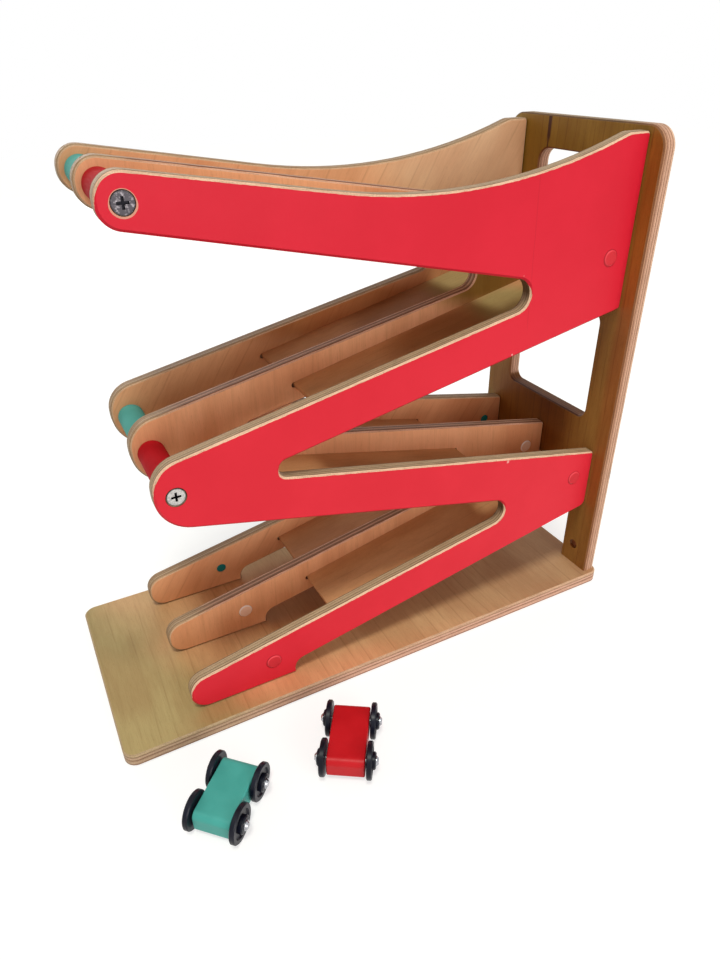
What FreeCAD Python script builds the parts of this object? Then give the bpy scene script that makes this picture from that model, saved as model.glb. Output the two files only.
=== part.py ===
import FreeCAD, Part
import Sketcher
import math
import os

# Two-lane wooden zigzag ramp for toy cars, with its two cars standing in front of it.
# X runs along the ramp towards the end panel, Y across the lanes, Z up. Millimetres.
# The origin is the middle of the base board's underside.

SIZES = {
    # base board
    "base_length": 368.5, "base_width": 148.0, "base_thickness": 9.5,
    "base_corner_radius": 8.0, "base_edge_bevel": 1.0,
    # end panel, standing on the base board
    "panel_thickness": 9.5, "panel_width": 139.0, "panel_top": 324.0, "panel_setback": 2.5,
    "panel_corner_radius": 13.0, "panel_edge_bevel": 0.9, "leg_width": 26.5,
    "leg_opening_top": 64.0, "window_bottom": 132.0, "window_top": 209.0, "window_radius": 7.0,
    "hand_hole_width": 71.0, "hand_hole_height": 27.0, "hand_hole_drop": 20.0,
    "hand_hole_radius": 9.0,
    # three zigzag rails; an arm's height is that of its top edge, halfway along the rails:
    # arm 1 is set from the panel's top, arm 4 from the base, arms 2 and 3 by their share of
    # the way down from arm 1 to arm 4
    "rail_thickness": 8.0, "lane_pitch": 54.6, "rail_front_bevel": 1.3, "rail_back_bevel": 0.6,
    "tip_inset": 47.4, "arm_1_drop": 25.6, "arm_1_depth": 33.4, "arm_1_angle": 10.0,
    "arm_2_share": 0.3573, "arm_3_share": 0.6597, "arm_3_depth": 31.2, "arm_3_angle": 11.45,
    "arm_4_rise": 53.8, "back_arm_depth": 27.5, "back_arm_angle": 11.2, "under_angle": 13.2,
    "upper_tip_radius": 11.6, "lower_tip_top_radius": 17.5, "lower_tip_under_radius": 23.0,
    "foot_end_inset": 46.6, "foot_radius": 11.2, "foot_heel": 116.4, "foot_notch_radius": 7.5,
    "notch_1_gap": 16.4, "notch_2_gap": 9.4, "notch_3_gap": 15.4,
    "notch_1_radius": 10.3, "notch_2_radius": 7.0, "notch_3_radius": 9.6,
    "end_corner_radius": 2.5, "arm_4_corner_radius": 6.0,
    # concave sweep up to the horn on the two outer rails
    "sweep_low_inset": 136.3, "sweep_radius": 352.0,
    "horn_drop": 3.1, "horn_flat": 13.6, "horn_round": 12.0,
    # ramp floors in routed grooves
    "floor_thickness": 3.5, "groove_depth": 2.5, "groove_clearance": 0.1, "groove_end_gap": 0.3,
    "floor_angle": 13.0, "down_lip": 16.0, "back_lip": 12.3,
    "floor_start": 70.0, "drop_opening": 83.0, "back_floor_end": 149.7,
    "floor_panel_gap": 0.3, "floor_edge_round": 1.0,
    # dowels and the long bolts through the two tips
    "dowel_diameter": 16.0, "dowel_clearance": 0.4, "dowel_bevel": 0.6,
    "tip_bolt_place": 59.0, "upper_bolt_drop": 13.0, "lower_bolt_drop": 20.1,
    "tip_bolt_diameter": 4.0, "tip_bolt_engagement": 9.0,
    "tip_head_diameter": 10.0, "tip_head_thickness": 1.8, "tip_head_sink": 0.25,
    "tip_head_clearance": 0.45, "cross_length": 5.4, "cross_width": 1.3, "cross_depth": 1.1,
    "sleeve_diameter": 5.6, "sleeve_length": 22.0,
    # barrel nuts in the rails, their bolts and the round plugs over them; the back rail's are
    # let in from its outer side, and smaller plugs close their holes on its inner side
    "nut_hole": 9.8, "nut_hole_floor": 1.1, "nut_clearance": 0.2, "nut_cover": 1.4,
    "plug_clearance": 0.15, "plug_thickness": 1.5, "plug_proud": 0.6,
    "inner_plug_hole": 7.3, "inner_plug_sink": 0.6, "inner_plug_thickness": 0.7,
    "nut_inset": 15.8, "upper_nut_drop": 22.3, "middle_nut_drop": 20.7,
    "foot_nut_place": 101.6, "foot_nut_rise": 16.7,
    "bolt_diameter": 4.0, "bolt_clearance": 0.2, "thread_clearance": 0.05,
    "bolt_past_nut": 3.4, "bore_past_bolt": 1.5,
    "bolt_head_diameter": 8.0, "bolt_head_thickness": 2.4, "bolt_head_sink": 0.5,
    "bolt_head_clearance": 0.3, "hex_key_width": 2.5, "hex_key_depth": 1.5,
    # barrel nuts in the panel's two legs
    "leg_nut_hole": 7.5, "leg_nut_hole_floor": 1.7, "leg_nut_cover": 1.95,
    "leg_nut_rise": 16.9, "leg_nut_inset": 15.4,
    # toy cars; the red one is a little longer
    "teal_car_length": 40.0, "red_car_length": 43.2, "car_width": 22.4,
    "car_bottom": 3.9, "car_top": 17.0, "teal_wheelbase": 26.3, "red_wheelbase": 28.4,
    "car_end_round": 4.0, "car_under_round": 2.0, "car_edge_bevel": 0.5,
    "wheel_diameter": 21.8, "tyre_width": 3.2, "wheel_gap": 0.9,
    "tyre_edge": 0.6, "rim_diameter": 16.4, "hub_diameter": 10.2, "hub_height": 2.0,
    "hub_bevel": 0.7, "rim_recess": 1.0,
    "axle_diameter": 2.4, "axle_clearance": 0.05, "wheel_fit": 0.02,
    "cap_diameter": 5.8, "cap_height": 1.5, "cap_bevel": 1.1, "cap_socket": 0.8,
    "teal_car_x": 46.0, "teal_car_y": -51.6, "teal_car_heading": 225.2,
    "red_car_x": 122.5, "red_car_y": -49.8, "red_car_heading": 237.1,
}

UP = FreeCAD.Vector(0, 0, 1)
TOLERANCE = 1e-6
ROUNDED_SHARE = 0.98
PLANE_NORMALS = {"XY_Plane": "z", "XZ_Plane": "-y", "YZ_Plane": "x"}

doc = FreeCAD.newDocument("toy_car_ramp")
sheet = doc.addObject("Spreadsheet::Sheet", "sizes")
for row, (alias, value) in enumerate(SIZES.items(), start=1):
    sheet.set(f"A{row}", alias)
    sheet.set(f"B{row}", str(value))
    sheet.setAlias(f"B{row}", alias)
doc.recompute()


def size(alias):
    return float(sheet.get(alias))


# Places shared by several pieces, from the base board's left end and front edge

panel_inner = size("base_length") - size("panel_setback") - size("panel_thickness")
panel_outer = panel_inner + size("panel_thickness")
rail_middle = (size("tip_inset") + panel_inner) / 2
lane_middles = {
    "front": size("base_width") / 2 - size("lane_pitch") / 2,
    "back": size("base_width") / 2 + size("lane_pitch") / 2,
}
rail_faces = {
    "front": size("base_width") / 2 - size("lane_pitch") - size("rail_thickness") / 2,
    "middle": size("base_width") / 2 - size("rail_thickness") / 2,
    "back": size("base_width") / 2 + size("lane_pitch") - size("rail_thickness") / 2,
}
leg_middles = [
    (size("base_width") - size("panel_width")) / 2 + size("leg_nut_inset"),
    (size("base_width") + size("panel_width")) / 2 - size("leg_nut_inset"),
]


# Plane geometry: a slanted line is a pair (height halfway along the rails, rise per millimetre).

def slanted(height, degrees):
    return (height, math.tan(math.radians(degrees)))


def height_on(line, place):
    return line[0] + line[1] * (place - rail_middle)


def lowered(line, depth, degrees=None):
    """The line moved down, and turned to another angle if one is given."""
    if degrees is None:
        return (line[0] - depth, line[1])
    return slanted(line[0] - depth, degrees)


def on_line(line, place):
    return (place, height_on(line, place))


def where_gap_is(upper, lower, gap):
    """The place along the rails where two slanted lines are a given height apart."""
    return rail_middle + (gap - upper[0] + lower[0]) / (upper[1] - lower[1])


def mid_of_arc(centre, radius, first, last):
    toward = ((first[0] + last[0]) / 2 - centre[0], (first[1] + last[1]) / 2 - centre[1])
    reach = radius / math.hypot(*toward)
    return (centre[0] + toward[0] * reach, centre[1] + toward[1] * reach)


def direction(start, end):
    length = math.dist(start, end)
    return [(end[i] - start[i]) / length for i in (0, 1)]


def half_corner_angle(before, corner, after):
    pairs = zip(direction(corner, before), direction(corner, after))
    cosine = sum(a * b for a, b in pairs)
    return math.acos(max(-1.0, min(1.0, cosine))) / 2


def corner_round(before, corner, after, radius):
    """Start, middle and end of the arc that rounds a corner."""
    unit_before = direction(corner, before)
    unit_after = direction(corner, after)
    half_angle = half_corner_angle(before, corner, after)
    along = radius / math.tan(half_angle)
    start = tuple(corner[i] + unit_before[i] * along for i in (0, 1))
    end = tuple(corner[i] + unit_after[i] * along for i in (0, 1))
    inward = [unit_before[i] + unit_after[i] for i in (0, 1)]
    reach = radius / math.sin(half_angle) / math.hypot(*inward)
    centre = tuple(corner[i] + inward[i] * reach for i in (0, 1))
    return start, mid_of_arc(centre, radius, start, end), end


def fitted_corners(corners, closed):
    """The corners with their radii reduced where two arcs would not fit on the side they share."""
    count = len(corners)
    reaches = []
    for index, (point, radius) in enumerate(corners):
        inner = closed or 0 < index < count - 1
        half_angle = half_corner_angle(corners[index - 1][0], point,
                                       corners[(index + 1) % count][0])
        reaches.append(radius / math.tan(half_angle) if inner and radius > 0 else 0)
    shares = [1.0] * count
    for index in range(count if closed else count - 1):
        following = (index + 1) % count
        room = ROUNDED_SHARE * math.dist(corners[index][0], corners[following][0])
        needed = max(reaches[index] + reaches[following], TOLERANCE)
        shares[index] = min(shares[index], room / needed)
        shares[following] = min(shares[following], room / needed)
    return [(point, radius * share) for (point, radius), share in zip(corners, shares)]


def rounded_chain(corners, closed=True):
    """Lines and arcs through corners given as (point, radius); radius 0 leaves a sharp corner."""
    corners = fitted_corners(corners, closed)
    count = len(corners)
    pieces = []
    last_end = None
    first_start = None
    for index, (point, radius) in enumerate(corners):
        inner = closed or 0 < index < count - 1
        start, middle, end = point, None, point
        if radius > 0 and inner:
            before = corners[index - 1][0]
            after = corners[(index + 1) % count][0]
            start, middle, end = corner_round(before, point, after, radius)
        if last_end is not None:
            pieces.append((last_end, start))
        else:
            first_start = start
        if middle is not None:
            pieces.append((start, middle, end))
        last_end = end
    if closed:
        pieces.append((last_end, first_start))
    return pieces


def rectangle(left, bottom, right, top, radius):
    points = [(left, bottom), (right, bottom), (right, top), (left, top)]
    return rounded_chain([(point, radius) for point in points])


def slot(line, start, end, thickness, round_start, round_end):
    """Outline of a groove whose upper side follows a slanted line."""
    angle = math.atan(line[1])
    down = (math.sin(angle), -math.cos(angle))
    along = (math.cos(angle), math.sin(angle))
    half = thickness / 2
    upper = [on_line(line, start), on_line(line, end)]
    lower = [(p[0] + down[0] * thickness, p[1] + down[1] * thickness) for p in upper]
    pieces = [(lower[0], lower[1])]
    for top, bottom, rounded, sign in ((upper[1], lower[1], round_end, 1),
                                       (upper[0], lower[0], round_start, -1)):
        outer = ((top[0] + bottom[0]) / 2 + sign * along[0] * half,
                 (top[1] + bottom[1]) / 2 + sign * along[1] * half)
        ends = (bottom, top) if sign == 1 else (top, bottom)
        pieces.append((ends[0], outer, ends[1]) if rounded else ends)
    pieces.insert(2, (upper[1], upper[0]))
    return pieces


# Bodies, sketches and features

def new_body(label):
    body = doc.addObject("PartDesign::Body", label)
    body.Label = label
    return body


def new_sketch(body, name, role, offset=None):
    """A sketch on one of the body's own planes, offset along +X, +Y or +Z by an expression."""
    sketch = body.newObject("Sketcher::SketchObject", name)
    plane = next(item for item in body.Origin.OriginFeatures if item.Role == role)
    sketch.AttachmentSupport = [(plane, "")]
    sketch.MapMode = "FlatFace"
    if offset:
        sign = "-" if PLANE_NORMALS[role].startswith("-") else ""
        sketch.setExpression("AttachmentOffset.Base.z", f"{sign}({offset})")
    return sketch


def end_of(sketch, geometry, point):
    """Which end of a line or arc lies on a point."""
    first = sketch.getPoint(geometry, 1)
    near_first = math.hypot(first.x - point[0], first.y - point[1]) < TOLERANCE
    return 1 if near_first else 2


def draw_chain(sketch, pieces):
    """Adds a closed chain of lines and arcs and joins their ends."""
    ids = []
    for piece in pieces:
        points = [FreeCAD.Vector(p[0], p[1], 0) for p in piece]
        shape = Part.LineSegment(*points) if len(points) == 2 else Part.Arc(*points)
        ids.append(sketch.addGeometry(shape, False))
    for index, piece in enumerate(pieces):
        here = ids[index]
        following = ids[(index + 1) % len(ids)]
        joint = (here, end_of(sketch, here, piece[-1]),
                 following, end_of(sketch, following, piece[-1]))
        sketch.addConstraint(Sketcher.Constraint("Coincident", *joint))
    return ids


def draw_circle(sketch, centre, diameter, clearance=None, side=1):
    """A circle whose diameter is bound to the sheet, with a clearance outside (1) or inside (-1)."""
    value = size(diameter)
    expression = f"sizes.{diameter}"
    if clearance:
        value += 2 * side * size(clearance)
        expression += f" + {2 * side} * sizes.{clearance}"
    middle = FreeCAD.Vector(centre[0], centre[1], 0)
    index = sketch.addGeometry(Part.Circle(middle, UP, value / 2), False)
    constraint = sketch.addConstraint(Sketcher.Constraint("Diameter", index, value))
    sketch.setExpression(f"Constraints[{constraint}]", expression)


def add_pad(body, sketch, length, reverse=False, symmetric=False):
    pad = body.newObject("PartDesign::Pad", f"{body.Name}_pad")
    pad.Profile = sketch
    pad.Reversed = reverse
    if symmetric:
        pad.SideType = "Symmetric"
    pad.setExpression("Length", length)
    sketch.Visibility = False
    doc.recompute()
    return pad


def add_pocket(body, sketch, depth=None, reverse=False):
    """A pocket to a depth, or right through where no depth is given; it must take some wood away."""
    before = body.Shape.Volume
    pocket = body.newObject("PartDesign::Pocket", f"{body.Name}_pocket")
    pocket.Profile = sketch
    pocket.Reversed = reverse
    if depth is None:
        pocket.Type = "ThroughAll"
    else:
        pocket.setExpression("Length", depth)
    doc.recompute()
    if body.Shape.Volume > before - TOLERANCE:
        raise ValueError(f"{pocket.Label} of {body.Label} cuts nothing")
    return pocket


def add_revolution(body, sketch, axis):
    revolution = body.newObject("PartDesign::Revolution", f"{body.Name}_revolution")
    revolution.Profile = sketch
    revolution.ReferenceAxis = (sketch, [axis])
    revolution.Angle = 360
    doc.recompute()
    return revolution


def bevel_edges(body, base, width, chosen):
    """Bevels the edges of the body so far that a test picks."""
    names = [f"Edge{i}" for i, edge in enumerate(base.Shape.Edges, start=1) if chosen(edge)]
    chamfer = body.newObject("PartDesign::Chamfer", f"{body.Name}_bevel")
    chamfer.Base = (base, names)
    chamfer.setExpression("Size", width)
    doc.recompute()
    return chamfer


def flat_across(axis):
    """Test for edges that lie in one plane square to an axis."""
    return lambda edge: getattr(edge.BoundBox, f"{axis}Length") < TOLERANCE


def place(body, x_expression, y_expression, z_expression):
    for axis, expression in zip("xyz", (x_expression, y_expression, z_expression)):
        body.setExpression(f"Placement.Base.{axis}", expression)


LEFT_END = "-sizes.base_length / 2"
FRONT_EDGE = "-sizes.base_width / 2"
HEAD_DEPTH = "sizes.bolt_head_thickness + sizes.bolt_head_sink"

# Edge lines of the four arms, and the ramp floors that follow them

arm_1_height = size("panel_top") - size("arm_1_drop")
arm_4_height = size("base_thickness") + size("arm_4_rise")
arm_2_height = arm_1_height - size("arm_2_share") * (arm_1_height - arm_4_height)
arm_3_height = arm_1_height - size("arm_3_share") * (arm_1_height - arm_4_height)
arm_1_top = slanted(arm_1_height, -size("arm_1_angle"))
arm_1_under = lowered(arm_1_top, size("arm_1_depth"), -size("under_angle"))
arm_2_top = slanted(arm_2_height, size("back_arm_angle"))
arm_2_under = lowered(arm_2_top, size("back_arm_depth"))
arm_3_top = slanted(arm_3_height, -size("arm_3_angle"))
arm_3_under = lowered(arm_3_top, size("arm_3_depth"), -size("under_angle"))
arm_4_top = slanted(arm_4_height, size("back_arm_angle"))
arm_4_under = lowered(arm_4_top, size("back_arm_depth"))

floor_1 = lowered(arm_1_top, size("down_lip"), -size("floor_angle"))
floor_2 = lowered(arm_2_top, size("back_lip"), size("floor_angle"))
floor_3 = lowered(arm_3_top, size("down_lip"), -size("floor_angle"))
floor_4 = lowered(arm_4_top, size("back_lip"), size("floor_angle"))
down_floor_end = panel_inner - size("drop_opening")
back_floor_start = panel_inner - size("floor_panel_gap")
FLOORS = {
    "1": (floor_1, size("floor_start"), down_floor_end),
    "2": (floor_2, size("back_floor_end"), back_floor_start),
    "3": (floor_3, size("floor_start"), down_floor_end),
    "4": (floor_4, size("back_floor_end"), back_floor_start),
}

# Centres of the fasteners in the rails' side faces

tip_place = size("tip_bolt_place")
tip_points = {
    "upper": (tip_place, height_on(arm_1_top, tip_place) - size("upper_bolt_drop")),
    "lower": (tip_place, height_on(arm_2_top, tip_place) - size("lower_bolt_drop")),
}
nut_place = panel_inner - size("nut_inset")
panel_nut_heights = [height_on(arm_1_top, nut_place) - size("upper_nut_drop"),
                     height_on(arm_3_top, nut_place) - size("middle_nut_drop")]
foot_nut_height = size("base_thickness") + size("foot_nut_rise")
leg_nut_height = size("base_thickness") + size("leg_nut_rise")
nut_points = [(nut_place, height) for height in panel_nut_heights]
nut_points.append((size("foot_nut_place"), foot_nut_height))


# Base board

def make_base_board():
    body = new_body("base_board")
    sketch = new_sketch(body, "base_outline", "XY_Plane")
    draw_chain(sketch, rectangle(0, 0, size("base_length"), size("base_width"),
                                 size("base_corner_radius")))
    board = add_pad(body, sketch, "sizes.base_thickness")
    bevel_edges(body, board, "sizes.base_edge_bevel", flat_across("Z"))
    middle_of_panel = (panel_inner + panel_outer) / 2
    centres = [(middle_of_panel, leg) for leg in leg_middles]
    centres += [(size("foot_nut_place"), face + size("rail_thickness") / 2)
                for face in rail_faces.values()]
    holes = new_sketch(body, "bolt_holes", "XY_Plane")
    heads = new_sketch(body, "bolt_head_holes", "XY_Plane")
    for centre in centres:
        draw_circle(holes, centre, "bolt_diameter", "bolt_clearance")
        draw_circle(heads, centre, "bolt_head_diameter", "bolt_head_clearance")
    add_pocket(body, holes, None, reverse=True)
    add_pocket(body, heads, HEAD_DEPTH, reverse=True)
    place(body, LEFT_END, FRONT_EDGE, "0")
    return body


# End panel with its hand hole, window and the opening between its two legs

def make_end_panel():
    body = new_body("end_panel")
    front = (size("base_width") - size("panel_width")) / 2
    back = front + size("panel_width")
    inner_front = front + size("leg_width")
    inner_back = back - size("leg_width")
    bottom = size("base_thickness")
    radius = size("panel_corner_radius")
    window_radius = size("window_radius")
    outline = [((front, bottom), 0), ((inner_front, bottom), 0),
               ((inner_front, size("leg_opening_top")), window_radius),
               ((inner_back, size("leg_opening_top")), window_radius),
               ((inner_back, bottom), 0), ((back, bottom), 0),
               ((back, size("panel_top")), radius), ((front, size("panel_top")), radius)]
    sketch = new_sketch(body, "panel_outline", "YZ_Plane")
    draw_chain(sketch, rounded_chain(outline))
    draw_chain(sketch, rectangle(inner_front, size("window_bottom"), inner_back,
                                 size("window_top"), window_radius))
    middle = size("base_width") / 2
    half_hand = size("hand_hole_width") / 2
    hand_hole_top = size("panel_top") - size("hand_hole_drop")
    draw_chain(sketch, rectangle(middle - half_hand, hand_hole_top - size("hand_hole_height"),
                                 middle + half_hand, hand_hole_top, size("hand_hole_radius")))
    panel = add_pad(body, sketch, "sizes.panel_thickness")

    def beveled(edge):
        box = edge.BoundBox
        return box.XLength < TOLERANCE and box.ZMax > bottom + TOLERANCE

    bevel_edges(body, panel, "sizes.panel_edge_bevel", beveled)
    holes = new_sketch(body, "rail_bolt_holes", "YZ_Plane", "sizes.panel_thickness")
    heads = new_sketch(body, "rail_bolt_heads", "YZ_Plane", "sizes.panel_thickness")
    for face in rail_faces.values():
        for height in panel_nut_heights:
            centre = (face + size("rail_thickness") / 2, height)
            draw_circle(holes, centre, "bolt_diameter", "bolt_clearance")
            draw_circle(heads, centre, "bolt_head_diameter", "bolt_head_clearance")
    add_pocket(body, holes)
    add_pocket(body, heads, HEAD_DEPTH)
    nuts = new_sketch(body, "leg_nut_holes", "YZ_Plane")
    for leg in leg_middles:
        draw_circle(nuts, (leg, leg_nut_height), "leg_nut_hole")
    add_pocket(body, nuts, "sizes.panel_thickness - sizes.leg_nut_hole_floor", reverse=True)
    bores = new_sketch(body, "leg_bolt_holes", "XY_Plane", "sizes.base_thickness")
    for leg in leg_middles:
        draw_circle(bores, (size("panel_thickness") / 2, leg), "bolt_diameter", "bolt_clearance")
    depth = "sizes.leg_nut_rise + sizes.bolt_past_nut + sizes.bore_past_bolt"
    add_pocket(body, bores, depth, reverse=True)
    place(body, "sizes.base_length / 2 - sizes.panel_setback - sizes.panel_thickness",
          FRONT_EDGE, "0")
    return body


# Zigzag rails: one outline with a horn for the outer two, one with a straight top for the middle

def zigzag_corners():
    """Corners from the upper tip, under arm 1, round to the end of arm 1 at the panel."""
    tip = size("tip_inset")
    end = panel_inner
    foot_end = size("foot_end_inset")
    heel = size("foot_heel")
    ground = size("base_thickness")
    tip_radius = size("upper_tip_radius")
    end_radius = size("end_corner_radius")
    foot_radius = size("foot_radius")
    notch_1_end = where_gap_is(arm_1_under, arm_2_top, size("notch_1_gap"))
    notch_2_end = where_gap_is(arm_2_under, arm_3_top, size("notch_2_gap"))
    notch_3_end = where_gap_is(arm_3_under, arm_4_top, size("notch_3_gap"))
    return [
        (on_line(arm_1_top, tip), tip_radius),
        (on_line(arm_1_under, tip), tip_radius),
        (on_line(arm_1_under, notch_1_end), size("notch_1_radius")),
        (on_line(arm_2_top, notch_1_end), size("notch_1_radius")),
        (on_line(arm_2_top, tip), size("lower_tip_top_radius")),
        (on_line(arm_3_under, tip), size("lower_tip_under_radius")),
        (on_line(arm_3_under, notch_3_end), size("notch_3_radius")),
        (on_line(arm_4_top, notch_3_end), size("notch_3_radius")),
        (on_line(arm_4_top, foot_end), foot_radius),
        ((foot_end, ground), foot_radius),
        ((heel, ground), 0),
        (on_line(arm_4_under, heel), size("foot_notch_radius")),
        (on_line(arm_4_under, end), size("arm_4_corner_radius")),
        (on_line(arm_3_top, end), end_radius),
        (on_line(arm_3_top, notch_2_end), size("notch_2_radius")),
        (on_line(arm_2_under, notch_2_end), size("notch_2_radius")),
        (on_line(arm_2_under, end), end_radius),
    ]


def outer_outline():
    """The zigzag with a concave sweep up to a flat-topped horn at the panel."""
    left_radius = size("sweep_radius")
    round_radius = size("horn_round")
    angle = math.radians(size("arm_1_angle"))
    low_place = panel_inner - size("sweep_low_inset")
    left_centre = (low_place, height_on(arm_1_top, low_place) + left_radius / math.cos(angle))
    low = (low_place, left_centre[1] - left_radius)
    start = (low_place - left_radius * math.sin(angle),
             left_centre[1] - left_radius * math.cos(angle))
    horn_start = (panel_inner - size("horn_flat"), size("panel_top") - size("horn_drop"))
    round_centre = (horn_start[0], horn_start[1] - round_radius)
    across = round_centre[0] - low[0]
    above = round_centre[1] - low[1]
    right_radius = (across ** 2 + above ** 2 - round_radius ** 2) / (2 * (round_radius + above))
    right_centre = (low_place, low[1] + right_radius)
    share = right_radius / (right_radius + round_radius)
    sweep_end = tuple(right_centre[i] + (round_centre[i] - right_centre[i]) * share
                      for i in (0, 1))
    corners = [(start, 0)] + zigzag_corners()
    corners += [((panel_inner, horn_start[1]), size("end_corner_radius")), (horn_start, 0)]
    pieces = rounded_chain(corners, closed=False)
    pieces.append((horn_start, mid_of_arc(round_centre, round_radius, horn_start, sweep_end),
                   sweep_end))
    pieces.append((sweep_end, mid_of_arc(right_centre, right_radius, sweep_end, low), low))
    pieces.append((low, mid_of_arc(left_centre, left_radius, low, start), start))
    return pieces


def middle_outline():
    """The zigzag with arm 1's straight top carried on to the panel."""
    return rounded_chain(zigzag_corners() + [(on_line(arm_1_top, panel_inner),
                                              size("end_corner_radius"))])


def cut_grooves(body, face, reverse):
    """The four floor grooves routed into one face of a rail."""
    sketch = new_sketch(body, f"grooves_{len(body.Group)}", "XZ_Plane", face)
    height = size("floor_thickness") + 2 * size("groove_clearance")
    for number, (line, start, end) in FLOORS.items():
        raised = lowered(line, -size("groove_clearance") * math.hypot(1, line[1]))
        at_panel = number in ("2", "4")
        far_end = panel_inner + height if at_panel else end
        draw_chain(sketch, slot(raised, start, far_end, height, True, not at_panel))
    add_pocket(body, sketch, "sizes.groove_depth", reverse=reverse)


def front_edge(edge):
    """True for edges in the plane of the front face, where a body's own Y is 0."""
    return edge.BoundBox.YLength < TOLERANCE and abs(edge.BoundBox.YMin) < TOLERANCE


def rail_back_edge(edge):
    at_back = edge.BoundBox.YMin > size("rail_thickness") - TOLERANCE
    return edge.BoundBox.YLength < TOLERANCE and at_back


def make_rail(label, outline, lanes, sleeve=False, screw_head=False):
    """One rail. lanes names the faces that carry floors, and sleeve marks the back rail."""
    body = new_body(label)
    sketch = new_sketch(body, "zigzag_outline", "XZ_Plane")
    draw_chain(sketch, outline)
    board = add_pad(body, sketch, "sizes.rail_thickness", reverse=True)
    beveled = bevel_edges(body, board, "sizes.rail_front_bevel", front_edge)
    bevel_edges(body, beveled, "sizes.rail_back_bevel", rail_back_edge)
    if "front" in lanes:
        cut_grooves(body, "0", reverse=False)
    if "back" in lanes:
        cut_grooves(body, "sizes.rail_thickness", reverse=True)
    nuts = new_sketch(body, "nut_holes", "XZ_Plane", "sizes.rail_thickness" if sleeve else "0")
    for centre in nut_points:
        draw_circle(nuts, centre, "nut_hole")
    add_pocket(body, nuts, "sizes.rail_thickness - sizes.nut_hole_floor", reverse=sleeve)
    if sleeve:
        inner = new_sketch(body, "inner_plug_holes", "XZ_Plane")
        for centre in nut_points:
            draw_circle(inner, centre, "inner_plug_hole")
        add_pocket(body, inner, "sizes.nut_hole_floor")
    through = new_sketch(body, "tip_holes", "XZ_Plane")
    for centre in tip_points.values():
        shaft = "sleeve_diameter" if sleeve else "tip_bolt_diameter"
        draw_circle(through, centre, shaft, "bolt_clearance")
    add_pocket(body, through)
    if sleeve or screw_head:
        face = "sizes.rail_thickness" if sleeve else "0"
        heads = new_sketch(body, "tip_head_holes", "XZ_Plane", face)
        for centre in tip_points.values():
            draw_circle(heads, centre, "tip_head_diameter", "tip_head_clearance")
        add_pocket(body, heads, "sizes.tip_head_thickness + sizes.tip_head_sink", reverse=sleeve)
    middle = size("rail_thickness") / 2
    ends = new_sketch(body, "end_bolt_holes", "YZ_Plane",
                      "sizes.base_length - sizes.panel_setback - sizes.panel_thickness")
    for height in panel_nut_heights:
        draw_circle(ends, (middle, height), "bolt_diameter", "bolt_clearance")
    add_pocket(body, ends, "sizes.nut_inset + sizes.bolt_past_nut + sizes.bore_past_bolt")
    foot = new_sketch(body, "foot_bolt_hole", "XY_Plane", "sizes.base_thickness")
    draw_circle(foot, (size("foot_nut_place"), middle), "bolt_diameter", "bolt_clearance")
    add_pocket(body, foot, "sizes.foot_nut_rise + sizes.bolt_past_nut + sizes.bore_past_bolt",
               reverse=True)
    return body


def make_rails():
    front = make_rail("front_rail", outer_outline(), ["back"], screw_head=True)
    middle = make_rail("middle_rail", middle_outline(), ["front", "back"])
    back = make_rail("back_rail", outer_outline(), ["front"], sleeve=True)
    offsets = {front: "- sizes.lane_pitch", middle: "", back: "+ sizes.lane_pitch"}
    for body, offset in offsets.items():
        place(body, LEFT_END, f"-sizes.rail_thickness / 2 {offset}", "0")
    return [front, middle, back]


# Ramp floors: thin boards let into the grooves on both sides of a lane

def make_floor(number, lane):
    line, start, end = FLOORS[number]
    body = new_body(f"ramp_floor_{number}_{lane}_lane")
    angle = math.atan(line[1])
    down = (math.sin(angle) * size("floor_thickness"), -math.cos(angle) * size("floor_thickness"))
    top_start = on_line(line, start)
    top_end = on_line(line, end)
    drops_right = number in ("1", "3")
    round_edge = size("floor_edge_round")
    corners = [(top_start, 0 if drops_right else round_edge),
               ((top_start[0] + down[0], top_start[1] + down[1]), 0),
               ((top_end[0] + down[0], top_end[1] + down[1]), 0),
               (top_end, round_edge if drops_right else 0)]
    if number in ("2", "4"):
        corners[2] = ((top_end[0], corners[2][0][1]), 0)
    sketch = new_sketch(body, "floor_side", "XZ_Plane")
    draw_chain(sketch, rounded_chain(corners))
    width = ("sizes.lane_pitch - sizes.rail_thickness"
             " + 2 * (sizes.groove_depth - sizes.groove_end_gap)")
    add_pad(body, sketch, width, symmetric=True)
    side = "-" if lane == "front" else "+"
    place(body, LEFT_END, f"{side}sizes.lane_pitch / 2", "0")
    return body


# Dowels, and the long bolts and sleeve nuts that clamp rails and dowels together

def make_dowel(height_name, lane):
    body = new_body(f"{height_name}_{lane}_dowel")
    sketch = new_sketch(body, "dowel_section", "XZ_Plane")
    draw_circle(sketch, (0, 0), "dowel_diameter")
    draw_circle(sketch, (0, 0), "sleeve_diameter", "dowel_clearance")
    rod = add_pad(body, sketch, "sizes.lane_pitch - sizes.rail_thickness", symmetric=True)
    outer = size("dowel_diameter") / 2 - TOLERANCE

    def rim(edge):
        return edge.BoundBox.YLength < TOLERANCE and edge.BoundBox.XMax > outer

    bevel_edges(body, rod, "sizes.dowel_bevel", rim)
    side = "-" if lane == "front" else "+"
    place(body, f"{LEFT_END} + sizes.tip_bolt_place", f"{side}sizes.lane_pitch / 2",
          str(tip_points[height_name][1]))
    return body


def cross_recess(body, face):
    """Two crossed slots in a screw head's outer face."""
    half_length = size("cross_length") / 2
    half_width = size("cross_width") / 2
    for long_side, short_side in ((half_length, half_width), (half_width, half_length)):
        sketch = new_sketch(body, f"cross_{len(body.Group)}", "XZ_Plane", face)
        draw_chain(sketch, rectangle(-long_side, -short_side, long_side, short_side, 0))
        add_pocket(body, sketch, "sizes.cross_depth")


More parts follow.
